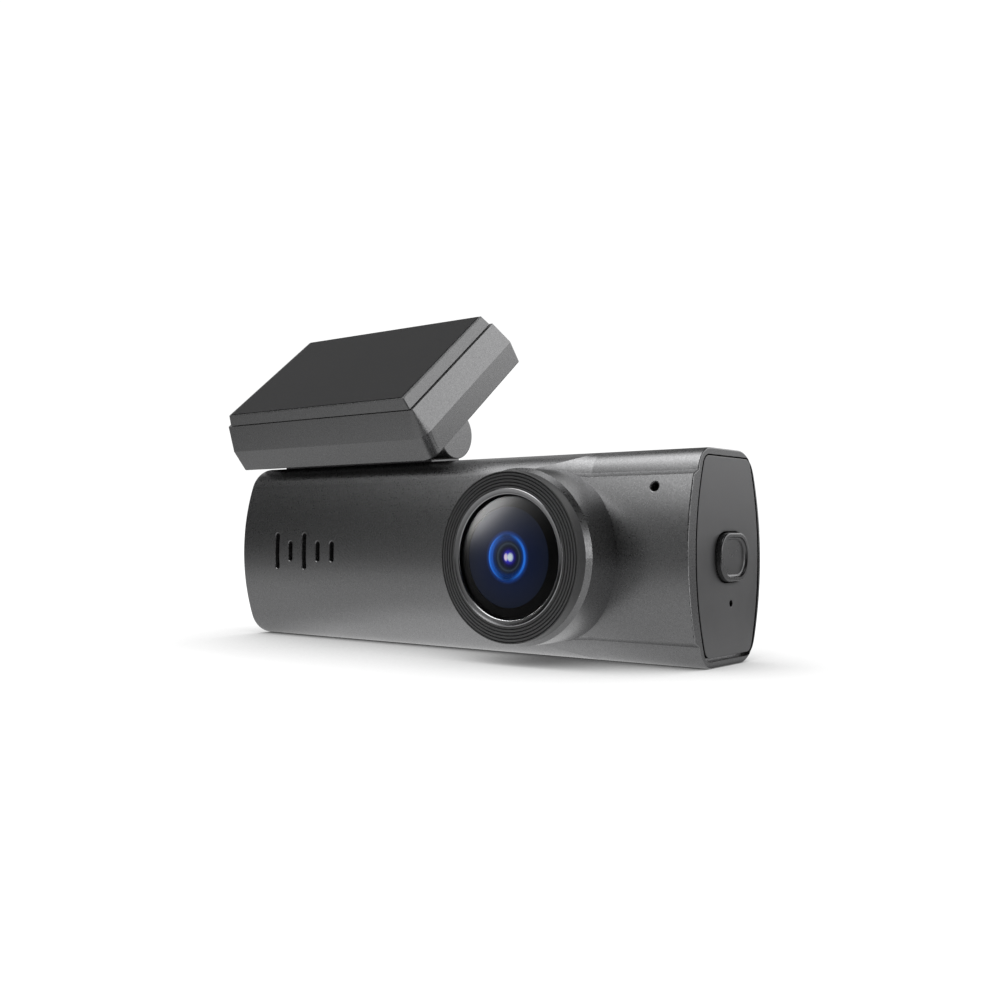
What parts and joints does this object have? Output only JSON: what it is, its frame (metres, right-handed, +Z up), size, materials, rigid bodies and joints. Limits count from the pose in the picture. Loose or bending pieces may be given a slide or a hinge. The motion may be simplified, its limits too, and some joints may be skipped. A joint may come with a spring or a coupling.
{
  "type": "dash camera",
  "caption": "Tube-shaped dash camera: bowed body with a grooved lens barrel on the front, a side button and a tilting adhesive windscreen bracket on top.",
  "frame": {"origin": "centre of the body's flat underside, which it stands on", "axes": "+X along the body towards the button end, the lens looks along -Y, +Z up"},
  "size_m": [0.0984, 0.0348, 0.0578],
  "materials": {
    "body_shell": "fine-grained satin dark grey",
    "cover_plastic": "fine-grained satin dark grey",
    "end_plastic": "smooth matte dark grey",
    "button_plastic": "satin dark grey",
    "barrel_plastic": "fine-grained satin dark grey",
    "ring_plastic": "satin near-black with turned grooves",
    "bezel_chrome": "dark polished",
    "cover_glass": "clear, coated",
    "lens_glass": "blue-violet coating",
    "black_plastic": "matte black",
    "bracket_plastic": "fine-grained satin dark grey",
    "adhesive": "flat matte",
    "circuit_board": "solder mask",
    "steel": "plain",
    "brass": "turned",
    "heat_aluminium": "brushed",
    "cell_wrap": "shrink wrap",
    "mesh_fabric": "fine acoustic mesh",
    "soft_rubber": "soft",
    "light_pipe": "smoked clear",
    "washer_nylon": "nylon",
    "antenna_film": "amber film",
    "sensor_silicon": "glossy"
  },
  "bodies": {
    "housing": {"front_shell": "body_shell", "back_cover": "cover_plastic", "left_end_cap": "cover_plastic", "right_end_frame": "end_plastic", "right_end_panel": "end_plastic", "button_switch": "black_plastic", "side_board": "circuit_board", "status_led": "light_pipe", "light_guide": "light_pipe", "lens_barrel": "barrel_plastic", "lens_front_ring": "ring_plastic", "lens_bezel": "bezel_chrome", "cover_glass": "cover_glass", "lens_mask": "black_plastic", "lens_tube": "black_plastic", "front_element": "lens_glass", "inner_element": "lens_glass", "aperture_ring": "black_plastic", "rear_element": "lens_glass", "lens_holder": "black_plastic", "image_sensor": "sensor_silicon", "sensor_board": "circuit_board", "board_connector": "black_plastic", "main_board": "circuit_board", "board_screws": "steel", "shield_can": "steel", "heat_spreader": "heat_aluminium", "backup_cell": "cell_wrap", "usb_socket": "steel", "card_socket": "steel", "speaker": "black_plastic", "speaker_mesh": "mesh_fabric", "mic_boot": "soft_rubber", "microphone": "heat_aluminium", "antenna": "antenna_film", "hinge_saddle": "bracket_plastic", "saddle_screws": "steel"},
    "bracket": {"bracket_block": "bracket_plastic", "hinge_pin": "steel", "pin_insert": "brass", "friction_washers": "washer_nylon", "pad_plate": "bracket_plastic", "plate_screws": "steel", "adhesive_pad": "adhesive"},
    "button": {"side_button": "button_plastic", "switch_plunger": "black_plastic"}
  },
  "joints": [
    {"name": "bracket_tilt", "type": "hinge", "parent": "housing", "child": "bracket", "pos_m": [-0.02484, -0.0039, 0.036], "axis": [1, 0, 0], "range_deg": [-50, 10]},
    {"name": "button_press", "type": "slide", "parent": "housing", "child": "button", "axis": [-1, 0, 0], "range_m": [0, 0.0005], "stiffness_N_per_m": 2500, "springref_m": -0.0002}
  ]
}
